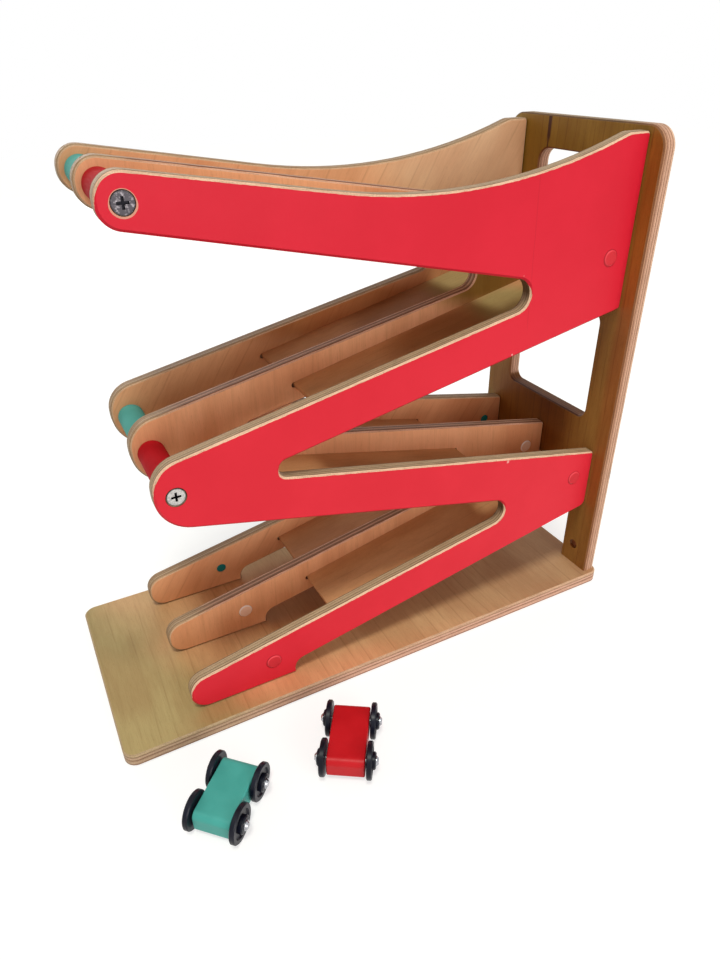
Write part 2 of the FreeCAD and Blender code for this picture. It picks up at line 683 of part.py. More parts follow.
def revolved_screw(name, head, head_thickness, shank, length):
    """A flat head with a shank along +Y, the head's outer face at the origin."""
    body = new_body(name)
    sketch = new_sketch(body, "screw_half", "YZ_Plane")
    points = [(0, 0), (0, head / 2), (head_thickness, head / 2), (head_thickness, shank / 2),
              (length, shank / 2), (length, 0)]
    draw_chain(sketch, rounded_chain([(point, 0) for point in points]))
    add_revolution(body, sketch, "H_Axis")
    return body


def copies_of(source, label, placements):
    """One node of equal loose pieces: a compound of the source set at each placement."""
    doc.recompute()
    shapes = []
    for placement in placements:
        shape = source.Shape.copy()
        shape.Placement = placement.multiply(source.Placement)
        shapes.append(shape)
    group = doc.addObject("Part::Feature", label)
    group.Label = label
    group.Shape = Part.makeCompound(shapes)
    return group


def world(x_from_left, y_from_front, z):
    return FreeCAD.Vector(x_from_left - size("base_length") / 2,
                          y_from_front - size("base_width") / 2, z)


def make_tip_fasteners():
    front_face = rail_faces["front"] + size("tip_head_sink")
    back_face = rail_faces["back"] + size("rail_thickness") - size("tip_head_sink")
    bolt_length = back_face - front_face - size("sleeve_length") + size("tip_bolt_engagement")
    bolt = revolved_screw("tip_bolt_pattern", size("tip_head_diameter"),
                          size("tip_head_thickness"), size("tip_bolt_diameter"), bolt_length)
    cross_recess(bolt, "0")
    sleeve = revolved_screw("sleeve_nut_pattern", size("tip_head_diameter"),
                            size("tip_head_thickness"), size("sleeve_diameter"),
                            size("sleeve_length"))
    bore = new_sketch(sleeve, "sleeve_bore", "XZ_Plane", "sizes.tip_head_thickness")
    draw_circle(bore, (0, 0), "tip_bolt_diameter", "thread_clearance")
    add_pocket(sleeve, bore)
    cross_recess(sleeve, "0")
    straight = FreeCAD.Rotation()
    turned = FreeCAD.Rotation(UP, 180)
    bolts = [FreeCAD.Placement(world(point[0], front_face, point[1]), straight)
             for point in tip_points.values()]
    sleeves = [FreeCAD.Placement(world(point[0], back_face, point[1]), turned)
               for point in tip_points.values()]
    return [copies_of(bolt, "tip_bolts", bolts), copies_of(sleeve, "tip_sleeve_nuts", sleeves)]


# Barrel nuts, their bolts and the round plugs that cover them

def make_barrel_nut(name, hole, length):
    """A barrel along Y, a little smaller than its hole, with a thread across it along Z."""
    body = new_body(name)
    sketch = new_sketch(body, "barrel_section", "XZ_Plane")
    draw_circle(sketch, (0, 0), hole, "nut_clearance", -1)
    add_pad(body, sketch, length, symmetric=True)
    bore = new_sketch(body, "cross_bore", "XY_Plane", f"-sizes.{hole} / 2")
    draw_circle(bore, (0, 0), "bolt_diameter", "thread_clearance")
    add_pocket(body, bore, None, reverse=True)
    return body


def make_hex_bolt(name, length):
    """A flat-headed bolt with a hexagon socket, head outwards at the origin, shank along +Y."""
    body = revolved_screw(name, size("bolt_head_diameter"), size("bolt_head_thickness"),
                          size("bolt_diameter"), length)
    radius = size("hex_key_width") / math.sqrt(3)
    corners = [(radius * math.cos(math.radians(60 * k)), radius * math.sin(math.radians(60 * k)))
               for k in range(6)]
    socket = new_sketch(body, "hex_socket", "XZ_Plane")
    draw_chain(socket, rounded_chain([(corner, 0) for corner in corners]))
    add_pocket(body, socket, "sizes.hex_key_depth")
    return body


def make_hidden_fasteners():
    to_left = FreeCAD.Rotation(UP, 90)
    upward = FreeCAD.Rotation(FreeCAD.Vector(1, 0, 0), 90)
    across = FreeCAD.Rotation(FreeCAD.Vector(0, 1, 0), 90)
    straight = FreeCAD.Rotation()
    middle = size("rail_thickness") / 2
    sink = size("bolt_head_sink")
    past = size("bolt_past_nut")

    panel_length = panel_outer - sink - nut_place + past
    foot_length = foot_nut_height - sink + past
    leg_length = leg_nut_height - sink + past
    panel_bolt = make_hex_bolt("panel_bolt_pattern", panel_length)
    foot_bolt = make_hex_bolt("foot_bolt_pattern", foot_length)
    leg_bolt = make_hex_bolt("leg_bolt_pattern", leg_length)
    rail_nut = make_barrel_nut("rail_nut_pattern", "nut_hole",
                               "sizes.rail_thickness - 2 * sizes.nut_cover")
    leg_nut = make_barrel_nut("leg_nut_pattern", "leg_nut_hole",
                              "sizes.panel_thickness - 2 * sizes.leg_nut_cover")

    panel_bolts = []
    rail_nuts = []
    foot_bolts = []
    for face in rail_faces.values():
        y = face + middle
        for height in panel_nut_heights:
            panel_bolts.append(FreeCAD.Placement(world(panel_outer - sink, y, height), to_left))
            rail_nuts.append(FreeCAD.Placement(world(nut_place, y, height), across))
        foot = size("foot_nut_place")
        foot_bolts.append(FreeCAD.Placement(world(foot, y, sink), upward))
        rail_nuts.append(FreeCAD.Placement(world(foot, y, foot_nut_height), straight))
    leg_x = (panel_inner + panel_outer) / 2
    leg_bolts = [FreeCAD.Placement(world(leg_x, leg, sink), upward) for leg in leg_middles]
    leg_turn = FreeCAD.Rotation(UP, 90)
    leg_nuts = [FreeCAD.Placement(world(leg_x, leg, leg_nut_height), leg_turn)
                for leg in leg_middles]
    return [copies_of(panel_bolt, "panel_bolts", panel_bolts),
            copies_of(rail_nut, "rail_barrel_nuts", rail_nuts),
            copies_of(foot_bolt, "foot_bolts", foot_bolts),
            copies_of(leg_bolt, "leg_bolts", leg_bolts),
            copies_of(leg_nut, "leg_barrel_nuts", leg_nuts)]


def at_nuts(y_from_front, degrees=0):
    """Placements at the rails' three nut holes, turned about the upright axis."""
    turn = FreeCAD.Rotation(UP, degrees)
    return [FreeCAD.Placement(world(point[0], y_from_front, point[1]), turn)
            for point in nut_points]


def make_plugs():
    """Plugs in each rail's own colour, and the smaller ones in the back rail's inner face."""
    plug = new_body("plug_pattern")
    sketch = new_sketch(plug, "plug_section", "XZ_Plane")
    draw_circle(sketch, (0, 0), "nut_hole", "plug_clearance", -1)
    disc = add_pad(plug, sketch, "sizes.plug_thickness", reverse=True)
    bevel_edges(plug, disc, "sizes.plug_proud", front_edge)
    small = new_body("inner_plug_pattern")
    section = new_sketch(small, "inner_plug_section", "XZ_Plane")
    draw_circle(section, (0, 0), "inner_plug_hole", "plug_clearance", -1)
    add_pad(small, section, "sizes.inner_plug_thickness", reverse=True)
    proud = size("plug_proud")
    back_face = rail_faces["back"] + size("rail_thickness")
    inner_face = rail_faces["back"] + size("inner_plug_sink")
    return [copies_of(plug, "red_plugs", at_nuts(rail_faces["front"] - proud)),
            copies_of(plug, "natural_plugs", at_nuts(rail_faces["middle"] - proud)),
            copies_of(plug, "teal_plugs", at_nuts(back_face + proud, 180)),
            copies_of(small, "teal_inner_plugs", at_nuts(inner_face))]


# Toy cars: +X in a car's own frame is forward, its origin is on the ground under its middle

def car_placement(colour, local):
    heading = FreeCAD.Rotation(UP, size(f"{colour}_car_heading"))
    spot = world(size(f"{colour}_car_x"), size(f"{colour}_car_y"), 0)
    return FreeCAD.Placement(spot, heading).multiply(local)


def make_car_body(colour):
    body = new_body(f"{colour}_car_body")
    half = size(f"{colour}_car_length") / 2
    end_round = size("car_end_round")
    under_round = size("car_under_round")
    sketch = new_sketch(body, "car_side", "XZ_Plane")
    draw_chain(sketch, rounded_chain([((-half, size("car_bottom")), under_round),
                                      ((half, size("car_bottom")), under_round),
                                      ((half, size("car_top")), end_round),
                                      ((-half, size("car_top")), end_round)]))
    block = add_pad(body, sketch, "sizes.car_width", symmetric=True)
    bevel_edges(body, block, "sizes.car_edge_bevel", flat_across("Y"))
    bores = new_sketch(body, "axle_bores", "XZ_Plane", "-sizes.car_width / 2")
    for sign in (-1, 1):
        centre = (sign * size(f"{colour}_wheelbase") / 2, size("wheel_diameter") / 2)
        draw_circle(bores, centre, "axle_diameter", "axle_clearance")
    add_pocket(body, bores)
    body.Placement = car_placement(colour, FreeCAD.Placement())
    return body


def wheel_half_section():
    """Points of a wheel's half section: distance out from its inner face, then radius."""
    bore = size("axle_diameter") / 2 + size("wheel_fit")
    tyre = size("wheel_diameter") / 2
    rim = size("rim_diameter") / 2
    hub = size("hub_diameter") / 2
    edge = size("tyre_edge")
    width = size("tyre_width")
    hub_face = width + size("hub_height")
    floor_of_rim = width - size("rim_recess")
    return [(0, bore), (0, tyre - edge), (edge, tyre), (width - edge, tyre),
            (width, tyre - edge), (width, rim), (floor_of_rim, rim - edge),
            (floor_of_rim, hub), (hub_face - size("hub_bevel"), hub),
            (hub_face, hub - size("hub_bevel")), (hub_face, bore)]


def make_wheelset(colour, end):
    """An axle, its two wheels and their two caps."""
    name = f"{colour}_{end}"
    inner = size("car_width") / 2 + size("wheel_gap")
    hub_face = inner + size("tyre_width") + size("hub_height")
    along = size(f"{colour}_wheelbase") / 2 * (1 if end == "front" else -1)
    centre = FreeCAD.Vector(along, 0, size("wheel_diameter") / 2)
    pieces = []

    axle = new_body(f"{name}_axle")
    rod = new_sketch(axle, "axle_section", "XZ_Plane")
    draw_circle(rod, (0, 0), "axle_diameter")
    half_axle = "sizes.car_width / 2 + sizes.wheel_gap + sizes.tyre_width + sizes.hub_height"
    add_pad(axle, rod, f"2 * ({half_axle} + sizes.cap_socket) - 2 * sizes.wheel_fit",
            symmetric=True)
    axle.Placement = car_placement(colour, FreeCAD.Placement(centre, FreeCAD.Rotation()))
    pieces.append(axle)

    for side, turn, sign in (("left", 0, 1), ("right", 180, -1)):
        wheel = new_body(f"{name}_wheel_{side}")
        sketch = new_sketch(wheel, "wheel_half", "YZ_Plane")
        draw_chain(sketch, rounded_chain([(point, 0) for point in wheel_half_section()]))
        add_revolution(wheel, sketch, "H_Axis")
        spot = centre + FreeCAD.Vector(0, sign * inner, 0)
        local = FreeCAD.Placement(spot, FreeCAD.Rotation(UP, turn))
        wheel.Placement = car_placement(colour, local)
        pieces.append(wheel)

    cap = new_body(f"{name}_cap_pattern")
    sketch = new_sketch(cap, "cap_half", "YZ_Plane")
    socket_radius = size("axle_diameter") / 2 + size("wheel_fit")
    edge = size("cap_diameter") / 2
    height = size("cap_height")
    socket = size("cap_socket")
    half_section = [(0, socket_radius), (0, edge), (height - size("cap_bevel"), edge),
                    (height, edge - size("cap_bevel")), (height, 0), (socket, 0),
                    (socket, socket_radius)]
    draw_chain(sketch, rounded_chain([(point, 0) for point in half_section]))
    add_revolution(cap, sketch, "H_Axis")
    caps = []
    for turn, sign in ((0, 1), (180, -1)):
        spot = centre + FreeCAD.Vector(0, sign * hub_face, 0)
        caps.append(car_placement(colour, FreeCAD.Placement(spot, FreeCAD.Rotation(UP, turn))))
    pieces.append(copies_of(cap, f"{name}_axle_caps", caps))
    return pieces


def make_car(colour):
    pieces = [make_car_body(colour)]
    for end in ("front", "rear"):
        pieces += make_wheelset(colour, end)
    return pieces


# The whole set

nodes = [make_base_board(), make_end_panel()]
nodes += make_rails()
for floor_number in FLOORS:
    for lane_name in lane_middles:
        nodes.append(make_floor(floor_number, lane_name))
for tip_name in tip_points:
    for lane_name in lane_middles:
        nodes.append(make_dowel(tip_name, lane_name))
nodes += make_tip_fasteners()
nodes += make_hidden_fasteners()
nodes += make_plugs()
for car_colour in ("teal", "red"):
    nodes += make_car(car_colour)
doc.recompute()

for item in doc.Objects:
    if "Invalid" in item.State or "Error" in item.State:
        raise ValueError(f"{item.Label} did not build: {item.State}")
for node in nodes:
    if node.Shape.isNull() or not node.Shape.isValid():
        raise ValueError(f"{node.Label} has no valid shape")

os.makedirs("parts", exist_ok=True)
for node in nodes:
    node.Shape.exportStep(f"parts/{node.Label}.step")
print(f"{len(nodes)} nodes, {sum(len(node.Shape.Solids) for node in nodes)} solids")
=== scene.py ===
import math
import bpy
from mathutils import Matrix, Vector


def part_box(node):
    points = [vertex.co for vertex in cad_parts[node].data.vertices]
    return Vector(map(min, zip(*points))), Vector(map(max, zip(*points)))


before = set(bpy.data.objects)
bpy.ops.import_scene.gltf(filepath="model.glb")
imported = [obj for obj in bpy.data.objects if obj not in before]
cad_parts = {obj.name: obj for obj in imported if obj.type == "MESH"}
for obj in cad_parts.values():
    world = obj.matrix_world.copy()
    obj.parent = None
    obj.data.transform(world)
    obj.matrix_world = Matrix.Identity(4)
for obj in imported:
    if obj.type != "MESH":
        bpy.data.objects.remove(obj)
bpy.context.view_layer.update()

MM = 0.001
X, Y, Z = 0, 1, 2

# Places in the row frame, in millimetres: the origin is under the middle of the base board.
BASE_LENGTH, BASE_THICKNESS = 368.5, 9.5
PANEL_INNER, PANEL_THICKNESS = 356.5 - BASE_LENGTH / 2, 9.5
RAIL_THICKNESS, LANE_PITCH = 8.0, 54.6
RAIL_FRONT = {
    "front_rail": -LANE_PITCH - RAIL_THICKNESS / 2,
    "middle_rail": -RAIL_THICKNESS / 2,
    "back_rail": LANE_PITCH - RAIL_THICKNESS / 2,
}
FLOOR_MIDDLE = {"front": -28, "back": 28}

# The round plugs over the nuts in the red rail: (x, z)
RED_PLUG_PLACES = ((156.45, 251.6), (156.45, 94.5), (-82.65, 26.2))
PLUG_RADIUS = 4.75

# The bolts through the two tips
TIP_BOLTS = [[v / MM for v in corner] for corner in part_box("tip_bolts")]
HEAD_RADIUS = 5.0
BOLT_X = (TIP_BOLTS[0][X] + TIP_BOLTS[1][X]) / 2
UPPER_BOLT_Z, LOWER_BOLT_Z = TIP_BOLTS[1][Z] - HEAD_RADIUS, TIP_BOLTS[0][Z] + HEAD_RADIUS


def rgb(r, g, b):
    """A colour given as 0-255 screen values, made linear."""
    def linear(v):
        v /= 255.0
        return v / 12.92 if v <= 0.04045 else ((v + 0.055) / 1.055) ** 2.4
    return (linear(r), linear(g), linear(b), 1.0)


# Colours: (light, dark, line) of each veneer and (light, dark) of each paint

BASE_FACE = (rgb(216, 172, 126), rgb(202, 154, 110), rgb(150, 100, 60))
# The panel's veneer is set dark and olive as painted shade on its inner face; end_panel lightens
# its outer face again.
PANEL_SHADED_FACE = (rgb(168, 122, 68), rgb(154, 108, 56), rgb(104, 66, 30))
RAIL_FACE = (rgb(236, 178, 133), rgb(224, 162, 118), rgb(174, 114, 76))
FLOOR_FACE = (rgb(206, 152, 108), rgb(190, 136, 93), rgb(130, 82, 48))
RED_PAINT = (rgb(221, 42, 59), rgb(216, 38, 55))
TEAL_PAINT = (rgb(84, 172, 160), rgb(76, 164, 152))
BARE_RIM, DARK_RIM = rgb(214, 150, 128), rgb(74, 40, 22)
CRACK, CHIP = DARK_RIM, rgb(238, 172, 168)
WHITE = (1.0, 1.0, 1.0, 1.0)

# Plies of each edge, from the board's lower face on: (start in millimetres, colour)

CREAM, SAND, KHAKI = rgb(234, 198, 168), rgb(190, 164, 132), rgb(170, 142, 110)
BROWN_EDGE, LINE = rgb(150, 112, 82), rgb(112, 88, 60)
PINK, PINK_DARK, PINK_LINE = rgb(230, 180, 150), rgb(206, 158, 130), rgb(122, 76, 54)
FRONT_PLIES = [(0.0, CREAM), (1.25, LINE), (1.75, SAND), (3.2, LINE), (3.65, SAND),
               (5.3, KHAKI), (5.9, SAND), (7.0, LINE), (7.4, KHAKI)]
BACK_PLIES = [(0.0, rgb(214, 178, 144)), (0.8, KHAKI), (1.8, LINE), (2.2, SAND),
              (3.6, BROWN_EDGE), (4.1, KHAKI), (5.5, LINE), (5.9, KHAKI), (7.3, BROWN_EDGE)]
MIDDLE_PLIES = [(0.0, PINK), (1.0, PINK_LINE), (1.4, BROWN_EDGE), (2.8, PINK_DARK),
                (4.2, PINK_LINE), (4.6, BROWN_EDGE), (6.2, PINK), (7.2, PINK_LINE),
                (7.6, BROWN_EDGE)]
BASE_PLIES = [(0.0, rgb(206, 160, 134)), (1.4, rgb(148, 104, 80)), (2.0, rgb(226, 184, 160)),
              (4.0, rgb(206, 162, 138)), (4.8, rgb(148, 104, 80)), (5.4, rgb(224, 182, 158)),
              (7.3, rgb(154, 112, 86)), (7.8, rgb(206, 170, 140))]
PANEL_PLIES = [(0.0, rgb(142, 96, 62)), (1.1, rgb(190, 144, 112)), (2.2, rgb(140, 92, 68)),
               (2.7, rgb(196, 152, 126)), (3.9, rgb(226, 184, 156)), (4.7, rgb(150, 104, 80)),
               (5.2, rgb(214, 172, 146)), (6.9, rgb(150, 104, 80)), (7.4, rgb(226, 188, 160))]

# Soft patches of painted light and shade, and of other tone: (centre, reach, red, green and blue
# factors)

BASE_SHADE_AND_TONE_PATCHES = [
    # painted shade on the base under the floors' ends
    ((-16, 14, 9.5), (80, 56, 20), (0.58, 0.42, 0.32)),
    # lighter and redder in front of the red rail
    ((-64, -66, 9.5), (80, 18, 20), (1.1, 0.95, 0.96)),
    # darker at the back left corner
    ((-156, 50, 9.5), (50, 60, 20), (0.84, 0.86, 0.84)),
]
PANEL_SHADE_PATCHES = [
    # painted shade on the panel's inner face between the rails
    ((PANEL_INNER, -10, 175), (20, 50, 90), (0.62, 0.48, 0.3)),
    ((PANEL_INNER, 16, 112), (20, 60, 50), (0.66, 0.48, 0.28)),
]
FLOOR_2_LIGHT_AND_SHADE_PATCHES = [
    # painted shade on floor 2 under floor 1
    ((56, 0, 218), (50, 40, 40), (0.61, 0.5, 0.38)),
    # painted greenish light where light falls through the drop onto floor 2's right end
    ((106, 0, 231), (32, 40, 40), (0.7, 1.04, 0.96)),
]
MIDDLE_RAIL_LIGHT_AND_SHADE_PATCHES = [
    # painted light on arm 3
    ((56, 0, 115), (56, 30, 30), (1.12, 1.2, 1.27)),
    # painted shade by the panel
    ((160, 0, 110), (56, 30, 40), (0.88, 0.82, 0.78)),
    # painted dark olive shade at the upper notch
    ((102, 0, 238), (60, 30, 28), (0.36, 0.38, 0.16)),
]
OUTER_RAIL_LIGHT_AND_SHADE_PATCHES = [
    # painted light on the horn and along arm 1, painted shade lower down and by the panel
    ((130, 0, 296), (90, 30, 50), (1.1, 1.41, 1.64)),
    ((30, 0, 286), (90, 30, 26), (1.06, 1.2, 1.24)),
    ((30, 0, 209), (100, 30, 22), (0.58, 0.44, 0.3)),
    ((-60, 0, 190), (90, 30, 50), (0.8, 0.84, 0.82)),
    ((160, 0, 110), (60, 30, 50), (0.72, 0.62, 0.54)),
]
EDGE_MARK = ((181.5, -73, 95.8), (2.2, 8, 8), (0.12, 0.06, 0.04))

# Small chips in the red paint: (x, z, radius)
CHIPS = ((90.3, 250.1, 0.3), (87.4, 202.6, 0.7), (93.4, 125.6, 1.1), (-29.2, 204.2, 0.35))

# Marks along the veneer's grain, from coarse to fine: the noise's scale along and across the
# grain, its detail and roughness, the levels between which a mark fades in, and its strength
GRAIN_MARKS = {
    "streak": ((0.03, 0.34), (3.0, 0.65), (0.42, 0.64), 0.13),
    "fibre": ((0.1, 2.6), (2.0, 0.6), (0.42, 0.7), 0.15),
    "fleck": ((0.36, 2.4), (1.0, 0.5), (0.62, 0.76), 0.28),
}
RING_SWAY = 1.4


def stretched(grain, along, across):
    """Noise scale that is drawn out along the grain axis."""
    return tuple(along if index == grain else across for index in range(3))


def shifted(seed):
    """Where a board's noise is read, so that no two boards look alike."""
    return (seed * 37.0, seed * 91.0, seed * 53.0)


class Nodes:
    """A material's node tree, built by short calls that each return an output socket."""

    def __init__(self, name):
        self.material = bpy.data.materials.new(name)
        self.material.use_nodes = True
        self.tree = self.material.node_tree
        self.tree.nodes.clear()
        self.output = self.add("OutputMaterial")
        self.shader = self.add("BsdfPrincipled")
        self.put(self.output.inputs[0], self.shader.outputs[0])
        self.place = self.add("TexCoord")
        self.point = self.mapped(self.place.outputs["Object"], scale=(1 / MM, 1 / MM, 1 / MM))

    def add(self, kind):
        return self.tree.nodes.new("ShaderNode" + kind)

    def put(self, socket, value):
        if isinstance(value, bpy.types.NodeSocket):
            self.tree.links.new(value, socket)
        elif value is not None:
            socket.default_value = value

    def facing(self, index):
        """How far the surface faces along an axis, from -1 to 1."""
        return self.axis(self.place.outputs["Normal"], index)

    def at(self, index):
        """Place along an axis in millimetres."""
        return self.axis(self.point, index)

    def mapped(self, vector, scale=(1, 1, 1), shift=(0, 0, 0), turn=(0, 0, 0)):
        node = self.add("Mapping")
        node.inputs["Scale"].default_value = scale
        node.inputs["Location"].default_value = shift
        node.inputs["Rotation"].default_value = turn
        self.put(node.inputs["Vector"], vector)
        return node.outputs[0]

    def axis(self, vector, index):
        node = self.add("SeparateXYZ")
        self.put(node.inputs[0], vector)
        return node.outputs[index]

    def distance(self, vector, place):
        node = self.add("VectorMath")
        node.operation = "DISTANCE"
        self.put(node.inputs[0], vector)
        node.inputs[1].default_value = place
        return node.outputs["Value"]

    def from_line(self, x, z):
        """Millimetres from the line across the rails at x and z."""
        return self.distance(self.mapped(self.point, scale=(1, 0, 1)), (x, 0.0, z))

    def maths(self, operation, a, b=None, c=None):
        node = self.add("Math")
        node.operation = operation
        for socket, value in zip(node.inputs, (a, b, c)):
            self.put(socket, value)
        return node.outputs[0]

    def both(self, a, b):
        return self.maths("MULTIPLY", a, b)

    def step(self, value, low, high, to_low=0.0, to_high=1.0):
        """From to_low, where value is at most low, smoothly to to_high, where it is high."""
        node = self.add("MapRange")
        node.interpolation_type = "SMOOTHSTEP"
        for name, entry in (("Value", value), ("From Min", low), ("From Max", high),
                            ("To Min", to_low), ("To Max", to_high)):
            self.put(node.inputs[name], entry)
        return node.outputs[0]

    def noise(self, scale, seed=0.0, detail=2.0, roughness=0.5, vector=None):
        """Noise from 0 to 1 whose features are 1 / scale millimetres along each axis."""
        if not isinstance(scale, tuple):
            scale = (scale, scale, scale)
        node = self.add("TexNoise")
        place = self.point if vector is None else vector
        self.put(node.inputs["Vector"], self.mapped(place, scale, shifted(seed)))
        for name, entry in (("Scale", 1.0), ("Detail", detail), ("Roughness", roughness)):
            node.inputs[name].default_value = entry
        return node.outputs[0]

    def mix(self, factor, a, b, blend="MIX"):
        node = self.add("Mix")
        node.data_type = "RGBA"
        node.blend_type = blend
        for index, value in ((0, factor), (6, a), (7, b)):
            self.put(node.inputs[index], value)
        return node.outputs[2]

    def tint(self, colour, factors, amount=1.0):
        """Multiply colour by red, green and blue factors."""
        return self.mix(amount, colour, (*factors, 1.0), "MULTIPLY")

    def ramp(self, factor, stops):
        node = self.add("ValToRGB")
        elements = node.color_ramp.elements
        while len(elements) < len(stops):
            elements.new(1.0)
        for element, (place, colour) in zip(elements, stops):
            element.position = place
            element.color = colour
        self.put(node.inputs[0], factor)
        return node.outputs[0]

    def patch(self, colour, centre, reach, factors, y=0):
        """Tint colour in a soft egg-shaped place, whose centre is moved by y."""
        centre = (centre[X], centre[Y] + y, centre[Z])
        scale = tuple(1 / r for r in reach)
        shift = tuple(-c / r for c, r in zip(centre, reach))
        away = self.distance(self.mapped(self.point, scale, shift), (0, 0, 0))
        return self.tint(colour, factors, self.step(away, 0.45, 1.0, 1.0, 0.0))

    def spot(self, colour, centre, radius, tone, amount):
        """A small mark with a ragged rim."""
        away = self.maths("MULTIPLY_ADD", self.noise(0.9), radius,
                          self.distance(self.point, centre))
        return self.mix(self.step(away, radius, 1.7 * radius, amount, 0.0), colour, tone)

    def upright_line(self, axis, place, height, lean, width):
        """1 on a thin wavering line that runs up through axis = place at z = height."""
        run = self.maths("MULTIPLY_ADD", self.at(Z), lean, place - lean * height)
        run = self.maths("MULTIPLY_ADD", self.noise(0.12), 0.9,
                         self.maths("SUBTRACT", run, 0.45))
        away = self.maths("ABSOLUTE", self.maths("SUBTRACT", self.at(axis), run))
        return self.step(away, 0.3 * width, 0.6 * width, 1.0, 0.0)

    def bump(self, height, strength, distance):
        """Relief of a height socket; distance in metres."""
        node = self.add("Bump")
        node.inputs["Strength"].default_value = strength
        node.inputs["Distance"].default_value = distance
        self.put(node.inputs["Height"], height)
        return node.outputs[0]

    def finish(self, colour, roughness, normal=None, specular=0.3, metallic=0.0):
        self.put(self.shader.inputs["Base Color"], colour)
        self.put(self.shader.inputs["Roughness"], roughness)
        self.put(self.shader.inputs["Normal"], normal)
        self.shader.inputs["Specular IOR Level"].default_value = specular
        self.shader.inputs["Metallic"].default_value = metallic
        return self.material

    def finish_wood(self, colour, fibre):
        return self.finish(colour, self.step(fibre, 0.3, 0.8, 0.5, 0.62),
                           self.bump(fibre, 0.15, 0.00012), specular=0.22)


def veneer(n, tones, seed, grain, across, streaks, rings, gap, vector=None):
    """Birch veneer: soft clouds, streaks and short flecks along the grain, thin ring lines.

    streaks and rings are strengths, gap is the distance of ring lines in millimetres. Returns
    the colour and the fibre's height.
    """
    light, dark, line = tones
    vector = n.point if vector is None else vector
    cloud = n.noise(stretched(grain, 0.012, 0.035), seed, 3.0, vector=vector)
    tone = n.mix(n.step(cloud, 0.38, 0.64), light, dark)
    marks = {}
    for name, (scale, (detail, roughness), (low, high), strength) in GRAIN_MARKS.items():
        marks[name] = n.noise(stretched(grain, *scale), seed, detail, roughness, vector)
        tone = n.mix(n.step(marks[name], low, high, 0.0, strength * streaks), tone, line)
    wander = n.noise(stretched(grain, 0.006, 0.016), seed, 1.0, 0.4, vector)
    place = n.maths("MULTIPLY_ADD", wander, RING_SWAY,
                    n.maths("DIVIDE", n.axis(vector, across), gap))
    phase = n.maths("FRACT", place)
    ring = n.both(n.step(phase, 0.0, 0.03), n.step(phase, 0.03, 0.16, 1.0, 0.0))
    fade = n.step(n.noise(stretched(grain, 0.02, 0.08), seed, vector=vector), 0.38, 0.62)
    return n.mix(n.both(ring, n.both(fade, rings)), tone, line), marks["fibre"]


def ply_edge(n, axis, depth, thickness, plies, seed):
    """Edge of plywood, its plies streaked along and speckled."""
    moved = n.maths("MULTIPLY_ADD", n.noise(0.06, seed), 0.4, n.maths("SUBTRACT", depth, 0.2))
    stops = []
    for start, colour in plies:
        place = start / thickness
        if stops:
            stops.append((place - 0.02, stops[-1][1]))
        stops.append((place, colour))
    colour = n.ramp(n.maths("DIVIDE", moved, thickness), stops)
    streak = n.noise(stretched(axis, 3.0, 0.09), seed, 2.0, 0.6)
    speckle = n.noise(1.7, seed, 2.0, 0.7)
    colour = n.tint(colour, (0.56, 0.5, 0.46), n.step(streak, 0.42, 0.66, 0.0, 0.6))
    return n.tint(colour, (0.6, 0.54, 0.52), n.step(speckle, 0.46, 0.62, 0.0, 0.55))


class Board(Nodes):
    """Bare plywood: veneer on both faces, plies and glue lines on the edges.

    axis goes through the board's thickness from low on, and slant turns the veneer's grain
    about the row frame's Y axis, in degrees.
    """

    def __init__(self, name, axis, low, thickness, tones, plies, seed, grain, across, streaks,
                 rings, gap, slant=0.0):
        super().__init__(name)
        self.depth = self.maths("SUBTRACT", self.at(axis), low)
        self.rest = self.maths("SUBTRACT", thickness, self.depth)
        figure = self.mapped(self.point, turn=(0, math.radians(slant), 0))
        self.face, self.fibre = veneer(self, tones, seed, grain, across, streaks, rings, gap,
                                       figure)
        self.edge = ply_edge(self, axis, self.depth, thickness, plies, seed)

    def tint_face(self, factors, amount=1.0):
        self.face = self.tint(self.face, factors, amount)

    def tint_edge(self, factors, amount=1.0):
        self.edge = self.tint(self.edge, factors, amount)

    def patch_face(self, patches, y=0):
        for centre, reach, factors in patches:
            self.face = self.patch(self.face, centre, reach, factors, y)

    def colour(self):
        nearest = self.maths("MINIMUM", self.depth, self.rest)
        return self.mix(self.step(nearest, 0.04, 0.1, 1.0, 0.0), self.edge, self.face)


def dress(names, material):
    for name in names if isinstance(names, (list, tuple)) else [names]:
        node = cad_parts[name]
        for slot in node.material_slots:
            slot.material = material
        if not node.material_slots:
            node.data.materials.append(material)


def base_board():
    """Greener at its free end, with painted shade under the arms and soft patches of painted
    shade and other tone.
    """
    n = Board("base_ply", Z, 0.0, BASE_THICKNESS, BASE_FACE, BASE_PLIES, 1.0, grain=Y, across=X,
              streaks=0.85, rings=0.3, gap=11.0)
    along = n.maths("MULTIPLY_ADD", n.noise(0.02), 50.0, n.at(X))
    along = n.maths("MULTIPLY_ADD", n.at(Y), 0.5, along)
    free_end = n.step(along, -135.0, -85.0, 1.0, 0.0)
    n.tint_face((0.64, 0.82, 0.7), free_end)
    n.tint_edge((0.86, 0.98, 0.9), free_end)
    # Painted shade: darker towards the right, under the arms.
    n.tint_face((0.74, 0.74, 0.78), n.step(along, -40.0, 150.0))
    n.patch_face(BASE_SHADE_AND_TONE_PATCHES)
    return n.finish_wood(n.colour(), n.fibre)


